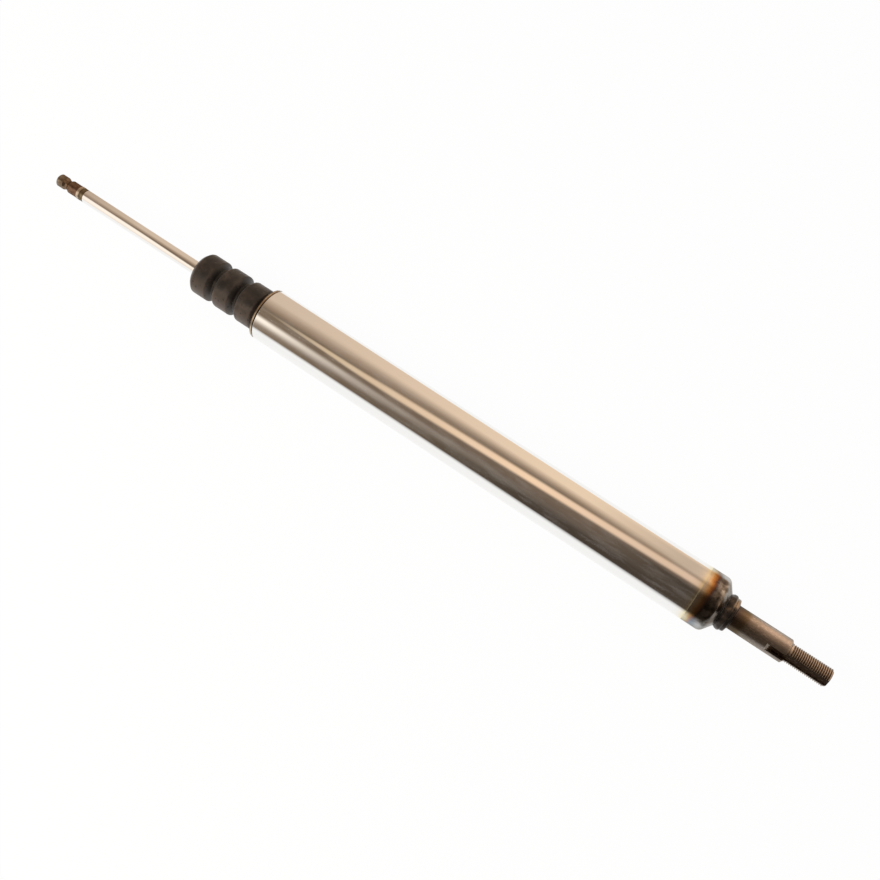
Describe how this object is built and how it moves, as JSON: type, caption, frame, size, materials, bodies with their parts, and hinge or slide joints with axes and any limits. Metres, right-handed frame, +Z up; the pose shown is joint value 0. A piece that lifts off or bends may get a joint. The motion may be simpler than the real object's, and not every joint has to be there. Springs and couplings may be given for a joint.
{
  "type": "strut cartridge",
  "caption": "Inverted gas-pressure strut cartridge: chromed body tube with a keyed threaded stud at one end, and a waisted piston rod with a lobed bump stop at the other.",
  "frame": {"origin": "on the cartridge's axis, at the outer face of the weld collar, where the stud's shank begins", "axes": "+X along the axis towards the threaded stud, +Z up, the tube lying along X as in the picture"},
  "size_m": [0.6949, 0.042, 0.042],
  "materials": {
    "chromed_tube": "ground and hard-chromed, polished",
    "chromed_rod": "hard-chromed and polished, unplated dark steel at its turned-down ends",
    "heat_tinted_steel": "turned, coloured straw to blue-black by the weld",
    "dark_steel": "turned, oiled, brown-black",
    "cover_steel": "turned, bright",
    "foam": "moulded microcellular polyurethane, matt",
    "seal_rubber": "moulded, smooth",
    "guide_aluminium": "turned",
    "bush_bronze": "bronze with a dark slippery lining",
    "sintered_iron": "pressed and sintered, steam-blued",
    "spring_steel": "rolled, bright",
    "band_plastic": "bronze-filled, matt"
  },
  "bodies": {
    "cylinder": {"body_tube": "chromed_tube", "end_cap": "heat_tinted_steel", "top_stud": "dark_steel", "end_cover": "cover_steel", "wiper_seal": "seal_rubber", "guide_circlip": "spring_steel", "seal_washer": "cover_steel", "rod_guide": "guide_aluminium", "guide_bush": "bush_bronze", "guide_o_ring": "seal_rubber", "rod_seal": "seal_rubber", "seal_load_ring": "seal_rubber"},
    "sliding_band": {"piston_band": "band_plastic"},
    "rod_assembly": {"piston_rod": "chromed_rod", "rebound_bumper": "seal_rubber", "compression_washer": "dark_steel", "compression_shims": "spring_steel", "piston": "sintered_iron", "rebound_shims": "spring_steel", "rebound_washer": "dark_steel", "piston_nut": "dark_steel"},
    "dividing_piston": {"floating_piston": "guide_aluminium", "floating_piston_o_ring": "seal_rubber", "floating_piston_band": "band_plastic"},
    "bump_stop": {"bump_stop": "foam"}
  },
  "joints": [
    {"name": "rod_slide", "type": "slide", "parent": "cylinder", "child": "sliding_band", "axis": [-1, 0, 0], "range_m": [-0.14, 0], "stiffness_N_per_m": 270, "springref_m": 0.84},
    {"name": "rod_spin", "type": "hinge", "parent": "sliding_band", "child": "rod_assembly", "pos_m": [-0.45, 0, 0], "axis": [-1, 0, 0], "continuous": true},
    {"name": "floating_piston_slide", "type": "slide", "parent": "cylinder", "child": "dividing_piston", "axis": [-1, 0, 0], "range_m": [-0.0131, 0]},
    {"name": "bump_stop_slide", "type": "slide", "parent": "cylinder", "child": "bump_stop", "axis": [-1, 0, 0], "range_m": [0, 0.118]}
  ],
  "couplings": [
    {"joint": "floating_piston_slide", "follows": "rod_slide", "ratio": 0.0934}
  ]
}
